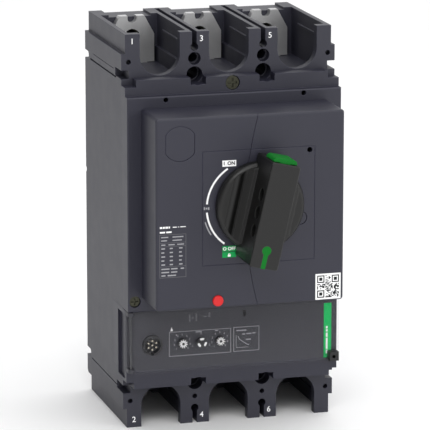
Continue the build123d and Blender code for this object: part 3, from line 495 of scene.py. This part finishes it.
def trip_and_reset_marks():
    """Three blocks in the arc's gap, and a short arc outside it."""
    x, z = SCALE_X + TRIP_MARK_SHIFT[0], SCALE_Z + TRIP_MARK_SHIFT[1]
    case_print("trip_mark", blocks(x, z, TRIP_MARK_BLOCKS), GREY_INK)
    start, end = RESET_STRETCH
    reset = [arc_band(SCALE_X, SCALE_Z, RESET_INNER, RESET_OUTER, start, end, SMALL_ARC_STEPS)]
    case_print("reset_mark", reset, GREY_INK)


def dashes(x, z, runs, height):
    """Short bars on one line that stand for words; each run is a start and a length."""
    return [rectangle(x + start, z - height / 2, x + start + length, z + height / 2)
            for start, length in runs]


# Rating table, in millimetres
TABLE_INSET = 2.4
TABLE_WIDTH = 16.8
TABLE_LOW = HANDLE_AXIS[1] - 42.6
TABLE_HIGH = HANDLE_AXIS[1] - 15.3
TABLE_HEAD = TABLE_HIGH - 5.2
TABLE_FOOT = TABLE_LOW + 7.0
TABLE_BORDER = 0.25
COLUMN_HEAD = 2.3
RULE_HALF = 0.1
TABLE_ROWS = 5
FOOT_PITCH = 2.1
# Lines of dashes: drop below a height, runs, and height of the dashes
HEAD_LINES = ((1.6, ((0.9, 4.6), (8.2, 7.0))), (3.7, ((0.9, 3.8), (8.2, 6.0))))
COLUMN_RUNS = ((1.0, 2.6), (5.6, 4.0), (11.2, 4.4))
FOOT_RUNS = (
    ((1.0, 5.2), (7.2, 4.2), (13.4, 2.2)),
    ((1.0, 5.0), (7.2, 4.0)),
    ((1.0, 2.6), (5.0, 5.4)),
)
TITLE_LINES = (
    (1.6, ((0.1, 3.4), (4.2, 3.4)), 1.0),
    (4.6, ((0.1, 1.6), (2.1, 1.2), (3.7, 1.6), (5.7, 0.9)), 1.2),
    (4.6, ((8.4, 2.6), (11.8, 0.6), (13.2, 3.6)), 0.5),
)
HEAD_DASH = 0.7
BODY_DASH = 0.8


def table_rules(x_low, x_high):
    """Border and the rules across it."""
    rules = frame_lines(x_low, TABLE_LOW, x_high, TABLE_HIGH, TABLE_BORDER)
    for z in (TABLE_HEAD, TABLE_HEAD - COLUMN_HEAD, TABLE_FOOT):
        rules.append(rectangle(x_low, z - RULE_HALF, x_high, z + RULE_HALF))
    return rules


def table_words(x):
    """Dashes of the table's head, columns, rows and foot."""
    words = []
    for drop, runs in HEAD_LINES:
        words += dashes(x, TABLE_HIGH - drop, runs, HEAD_DASH)
    words += dashes(x, TABLE_HEAD - 1.2, COLUMN_RUNS, HEAD_DASH)
    pitch = (TABLE_HEAD - COLUMN_HEAD - TABLE_FOOT) / TABLE_ROWS
    for row in range(TABLE_ROWS):
        z = TABLE_HEAD - COLUMN_HEAD - pitch * (row + 0.5)
        shorter = 0.5 * (row % 2)
        runs = ((1.0, 2.4 - shorter), (6.4, 2.0), (12.4, 2.2 - shorter))
        words += dashes(x, z, runs, BODY_DASH)
    for row, runs in enumerate(FOOT_RUNS):
        words += dashes(x, TABLE_FOOT - 1.5 - FOOT_PITCH * row, runs, BODY_DASH)
    return words


def rating_table():
    """Generic rating table: rules and short dashes in columns, with no words."""
    x_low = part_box("fascia_left")[0][0] / MM + TABLE_INSET
    case_print("rating_rules", table_rules(x_low, x_low + TABLE_WIDTH), SOFT_INK)
    case_print("rating_words", table_words(x_low), GREY_INK)
    title = []
    for rise, runs, height in TITLE_LINES:
        title += dashes(x_low, TABLE_HIGH + rise, runs, height)
    case_print("rating_title", title, WHITE_INK)


# Square sticker, in millimetres, with a count of cells along its side
STICKER_SIDE = 16.6
STICKER_INSET = (1.8, 1.0)
STICKER_MARGIN = 1.1
CELLS = 21
CELL_PITCH = (STICKER_SIDE - 2 * STICKER_MARGIN) / CELLS
# Corner squares: cells along a side, and cells from a side to the middle block
CORNER_CELLS = 7
CORNER_BORDER = 2
FILLED_SHARE = 0.48
# Multipliers of a plain hash that spreads the dots evenly
HASH_ROW = 127.1
HASH_COLUMN = 311.7
HASH_SCALE = 43758.5453


def corner_square(x, z):
    """Border and middle block of one corner square."""
    near, far = 0.5 * CELL_PITCH, (CORNER_CELLS - 0.5) * CELL_PITCH
    inner, outer = CORNER_BORDER * CELL_PITCH, (CORNER_CELLS - CORNER_BORDER) * CELL_PITCH
    squares = frame_lines(x + near, z + near, x + far, z + far, CELL_PITCH)
    squares.append(rectangle(x + inner, z + inner, x + outer, z + outer))
    return squares


def is_filled(row, column):
    """True for cells that carry a dot; the pattern comes from a hash and encodes nothing."""
    mixed_up = math.sin(row * HASH_ROW + column * HASH_COLUMN) * HASH_SCALE
    return mixed_up - math.floor(mixed_up) < FILLED_SHARE


def code_sticker():
    """White sticker with a generic square dot pattern."""
    low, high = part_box("fascia_right")
    x_high = high[0] / MM - STICKER_INSET[0]
    z_low = low[2] / MM + STICKER_INSET[1]
    x_low, z_high = x_high - STICKER_SIDE, z_low + STICKER_SIDE
    case_print("code_sticker", [rectangle(x_low, z_low, x_high, z_high)], STICKER)
    first_x, first_z = x_low + STICKER_MARGIN, z_low + STICKER_MARGIN
    last = CELLS - CORNER_CELLS
    corners = [(0, 0), (0, last), (last, last)]
    squares = []
    for column, row in corners:
        squares += corner_square(first_x + column * CELL_PITCH, first_z + row * CELL_PITCH)
    for row in range(CELLS):
        for column in range(CELLS):
            taken = any(x - 1 <= column <= x + CORNER_CELLS and z - 1 <= row <= z + CORNER_CELLS
                        for x, z in corners)
            if is_filled(row, column) and not taken:
                x, z = first_x + column * CELL_PITCH, first_z + row * CELL_PITCH
                squares.append(rectangle(x, z, x + CELL_PITCH, z + CELL_PITCH))
    case_print("code_dots", squares, DARK_INK, RAISED)


# ---------------------------------------------------------------- prints on the case

# Terminal numbers: millimetres from the case's ends and from a pole's middle
NUMBER_FROM_TOP = 4.7
NUMBER_FROM_BOTTOM = 5.0
NUMBER_FROM_POLE = 17.9
NUMBER_HEIGHT = 5.2
NUMBER_WEIGHT = 0.005


def terminal_numbers():
    """Terminal numbers 1 to 6 on the webs beside the cells."""
    top = cad_box[1][2] / MM - NUMBER_FROM_TOP
    bottom = cad_box[0][2] / MM + NUMBER_FROM_BOTTOM
    for pole in (1, 2, 3):
        x = centre(f"line_terminal_{pole}")[0] - NUMBER_FROM_POLE
        for number, z in ((2 * pole - 1, top), (2 * pole, bottom)):
            numeral(f"terminal_number_{number}", str(number), x, z, NUMBER_HEIGHT, SHROUD,
                    WHITE_INK, "case", NUMBER_WEIGHT)


# ---------------------------------------------------------------- trip unit

X1, Z1 = centre("trip_dial_1")
X2 = centre("trip_dial_2")[0]
X3 = centre("trip_dial_3")[0]
# Frames, in millimetres
FRAMES_LOW = Z1 - 8.3
FRAMES_HIGH = Z1 + 7.5
FRAME_WIDTH = 0.35
CURVE_LEFT = X3 + 9.3
CURVE_RIGHT = X3 + 26.1
CURVE_LIFT = 0.2
# Dial scales: radii in millimetres, angles in degrees
STAR_POINTS = 11
STAR_RADII = (0.9, 1.8, 3.3)
STAR_SPREAD = 150.0
RING_RADII = (1.7, 3.1)
RING_STARTS = (62.0, 185.0, 303.0)
RING_STRETCH = 62.0
RING_STEPS = 10
# Numbers round the dials
DIAL_NUMBERS = 9
NUMBERS_START = 225
NUMBERS_SWEEP = 270.0
NUMBERS_RADIUS = 5.3
DIAL_NUMBER_HEIGHT = 1.9
MIDDLE_NUMBERS = ((-5.6, -2.6), (0.0, 5.4), (5.6, -2.4))
# Trip curve: axes and slopes from its zero, as start, end and width
CURVE_BARS = (
    ((0.0, 0.0), (0.0, 8.4), 0.3),
    ((0.0, 0.0), (8.0, 0.0), 0.3),
    ((1.3, 7.6), (2.2, 5.4), 0.5),
    ((2.2, 5.4), (7.0, 2.0), 0.5),
    ((7.0, 2.0), (8.6, 1.4), 0.5),
)
# Dashes that stand for words: start, height and length
CURVE_WORDS = (
    (0.2, 11.2, 6.6), (4.0, 8.7, 2.0), (6.8, 8.8, 3.4), (10.8, 9.0, 2.0), (6.4, 5.0, 3.4),
)
CURVE_WORD_HALF = 0.4
DIAL_WORDS = ((X2 - 3.6, 6.6, 4.0), (X3 - 3.2, 6.6, 2.2), (X1 - 4.4, 5.4, 1.2))
DIAL_WORD_HALF = 0.35
# Triangle and faint blocks, from the first dial
UNIT_MARK = ((-7.9, 0.7), (-6.1, 0.7), (-7.0, 3.4))
TYPE_BLOCKS = (
    (4.4, 13.4, 5.4, 18.4), (8.8, 13.8, 9.8, 18.8), (6.2, 15.4, 7.6, 16.6),
    (14.0, 15.9, 16.2, 16.8), (17.2, 15.9, 18.6, 18.9),
)
# Indicator slot, from the third dial, and its thickness
INDICATOR_BLOCK = (15.4, 14.7, 17.3, 19.0)
INDICATOR_THICKNESS = 0.5


def on_circle(x, z, radius, angle):
    """Point at an angle, in radians, on a circle."""
    return (x + radius * math.cos(angle), z + radius * math.sin(angle))


def star_scale(x, z):
    """White spikes that point at the numbers round a dial, clear of its screwdriver slot."""
    near, middle, far = STAR_RADII
    half = math.radians(STAR_SPREAD / STAR_POINTS)
    spikes = []
    for n in range(STAR_POINTS):
        angle = math.radians(90 + 360.0 * n / STAR_POINTS)
        spikes.append([on_circle(x, z, near, angle + half), on_circle(x, z, near, angle - half),
                       on_circle(x, z, middle, angle - half), on_circle(x, z, far, angle),
                       on_circle(x, z, middle, angle + half)])
    return spikes


def trip_frames():
    """Outlines round the dials and round the trip curve."""
    lines = frame_lines(X1 - 8.6, FRAMES_LOW, X3 + 7.3, FRAMES_HIGH, FRAME_WIDTH)
    lines += frame_lines(CURVE_LEFT, FRAMES_LOW + CURVE_LIFT, CURVE_RIGHT,
                         FRAMES_HIGH + CURVE_LIFT, FRAME_WIDTH)
    case_print("trip_frames", lines, GREY_INK, FACE)


def dial_scales():
    """White scales on the fronts of the dials, which turn with them."""
    ring = [arc_band(X2, Z1, *RING_RADII, start, start + RING_STRETCH, RING_STEPS)
            for start in RING_STARTS]
    for dial, outlines in ((1, star_scale(X1, Z1)), (2, ring), (3, star_scale(X3, Z1))):
        front = front_depth(f"trip_dial_{dial}")
        body = f"trip_dial_{dial}"
        print_on(f"dial_scale_{dial}", outlines, front, WHITE_INK, body)


def dial_number(name, text, x, z):
    numeral(name, text, x, z, DIAL_NUMBER_HEIGHT, FACE, GREY_INK, "case")


def dial_numbers():
    """Generic numbers round each dial."""
    for dial, dial_x in ((1, X1), (3, X3)):
        for n in range(DIAL_NUMBERS):
            angle = math.radians(NUMBERS_START - NUMBERS_SWEEP * n / (DIAL_NUMBERS - 1))
            x, z = on_circle(dial_x, Z1, NUMBERS_RADIUS, angle)
            dial_number(f"dial_{dial}_number_{n + 1}", str(n + 1), x, z)
    for n, (dx, dz) in enumerate(MIDDLE_NUMBERS, 1):
        dial_number(f"dial_2_number_{n}", str(n), X2 + dx, Z1 + dz)


def trip_curve():
    """Axes and slope of a generic trip curve, with dashes that stand for words."""
    x, z = CURVE_LEFT + 1.6, FRAMES_LOW + 2.6
    curve = [bar((x + start[0], z + start[1]), (x + end[0], z + end[1]), width)
             for start, end, width in CURVE_BARS]
    for start, height, length in CURVE_WORDS:
        curve += dashes(x, z + height, ((start, length),), 2 * CURVE_WORD_HALF)
    for start, height, length in DIAL_WORDS:
        curve += dashes(start, Z1 + height, ((0.0, length),), 2 * DIAL_WORD_HALF)
    case_print("trip_curve", curve, GREY_INK, FACE)


def unit_marks():
    """Triangle, faint blocks and dark indicator slot on the trip unit's face."""
    triangle = [[(X1 + dx, FRAMES_HIGH + dz) for dx, dz in UNIT_MARK]]
    case_print("unit_mark", triangle, WHITE_INK, FACE)
    case_print("type_marks", blocks(X1, Z1, TYPE_BLOCKS), SOFT_INK, FACE)
    slot = blocks(X3, Z1, (INDICATOR_BLOCK,))
    print_on("indicator_slot", slot, FACE, DARK_INK, "case",
             INDICATOR_THICKNESS)


# Green strip: millimetres from the face's right, lower and upper edges
STRIP_FROM_RIGHT = 3.7
STRIP_FROM_BOTTOM = 0.1
STRIP_FROM_TOP = 3.4
STRIP_WIDTH = 5.0
STRIP_THICKNESS = 0.3
# Its dashes: sides from the strip's right edge, and starts and lengths upwards
STRIP_DASH_SIDES = (-3.6, -2.4)
STRIP_RUNS = ((2.6, 2.4), (5.6, 7.4), (13.6, 2.8), (17.2, 1.4), (19.2, 1.6))


def green_strip():
    """Coloured strip at the right end of the trip unit, with a column of generic dashes."""
    low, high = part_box("trip_unit_face")
    x_high = high[0] / MM - STRIP_FROM_RIGHT
    z_low = low[2] / MM + STRIP_FROM_BOTTOM
    z_high = high[2] / MM - STRIP_FROM_TOP
    strip = [rectangle(x_high - STRIP_WIDTH, z_low, x_high, z_high)]
    print_on("green_strip", strip, FACE, STRIP_INK, "case", STRIP_THICKNESS)
    left, right = STRIP_DASH_SIDES
    words = blocks(x_high, z_low, [(left, start, right, start + length)
                                   for start, length in STRIP_RUNS])
    case_print("strip_dashes", words, WHITE_INK, FACE + STRIP_THICKNESS)


# ---------------------------------------------------------------- studio

# Area lights: name, place and size in metres, power in watts
LIGHTS = (
    ("key", (-0.9, -2.2, 2.0), (1.6, 1.2), 26.0),
    ("fill", (1.8, -1.8, 0.9), (1.4, 1.4), 8.0),
    ("top", (0.0, -0.2, 2.2), (1.6, 1.6), 6.0),
)
# Half of the floor's side, in metres, and its two close tones
FLOOR_HALF = 8.0
FLOOR_TONES = ((0.93, 0.93, 0.935), (0.95, 0.95, 0.95))
# Surroundings: x of a direction at which they are dim and full, and both strengths
DIM_X = -0.75
FULL_X = 0.05
DIM_STRENGTH = 0.35
FULL_STRENGTH = 1.2


def area_light(name, place, size, power):
    """Rectangular light that faces the origin."""
    light = bpy.data.lights.new(name, "AREA")
    light.shape = "RECTANGLE"
    light.size, light.size_y = size
    light.energy = power
    holder = bpy.data.objects.new(name, light)
    holder.location = place
    holder.rotation_euler = (-Vector(place)).to_track_quat("-Z", "Y").to_euler()
    scene.collection.objects.link(holder)


def pale_floor():
    """Wide pale floor under the part."""
    mesh = bpy.data.meshes.new("floor")
    shape = bmesh.new()
    bmesh.ops.create_grid(shape, x_segments=4, y_segments=4, size=FLOOR_HALF)
    shape.to_mesh(mesh)
    shape.free()
    floor = bpy.data.objects.new("floor", mesh)
    floor.location = (0.0, 0.0, cad_box[0][2])
    scene.collection.objects.link(floor)
    material, tree, shader = new_material("floor")
    cloud = object_noise(tree, FLOOR_SCALE, 2.0)
    drive(tree, ramp(tree, cloud, *FLOOR_TONES), shader, "Base Color")
    shader.inputs["Roughness"].default_value = 0.8
    floor.data.materials.append(material)


def surroundings():
    """White surroundings that are dimmer towards the left."""
    world = bpy.data.worlds.new("studio")
    world.use_nodes = True
    tree = world.node_tree
    background = tree.nodes["Background"]
    background.inputs["Color"].default_value = (1.0, 1.0, 1.0, 1.0)
    direction = tree.nodes.new("ShaderNodeTexCoord")
    parts = tree.nodes.new("ShaderNodeSeparateXYZ")
    side = tree.nodes.new("ShaderNodeMapRange")
    side.inputs["From Min"].default_value = DIM_X
    side.inputs["From Max"].default_value = FULL_X
    side.inputs["To Min"].default_value = DIM_STRENGTH
    side.inputs["To Max"].default_value = FULL_STRENGTH
    tree.links.new(direction.outputs["Generated"], parts.inputs["Vector"])
    tree.links.new(parts.outputs["X"], side.inputs["Value"])
    tree.links.new(side.outputs["Result"], background.inputs["Strength"])
    scene.world = world


def studio():
    """Pale floor, white surroundings and soft lights."""
    pale_floor()
    surroundings()
    for name, place, size, power in LIGHTS:
        area_light(name, place, size, power)
    scene.view_settings.view_transform = "Standard"


def camera():
    """Camera that sees the part from the front, a little to its left and above it."""
    azimuth, elevation = math.radians(CAMERA_AZIMUTH), math.radians(CAMERA_ELEVATION)
    level = math.cos(elevation)
    back = Vector((math.sin(azimuth) * level, -math.cos(azimuth) * level, math.sin(elevation)))
    lens = bpy.data.cameras.new("camera")
    lens.sensor_width = SENSOR_WIDTH
    lens.lens = CAMERA_LENS
    lens.shift_x, lens.shift_y = CAMERA_SHIFT
    holder = bpy.data.objects.new("camera", lens)
    holder.location = CAMERA_TARGET + back * CAMERA_DISTANCE
    holder.rotation_euler = (-back).to_track_quat("-Z", "Y").to_euler()
    scene.collection.objects.link(holder)
    scene.camera = holder


dress_nodes()
travel_arc()
on_and_off_signs()
padlock_sign()
trip_and_reset_marks()
rating_table()
code_sticker()
terminal_numbers()
trip_frames()
dial_scales()
dial_numbers()
trip_curve()
unit_marks()
green_strip()
studio()
camera()
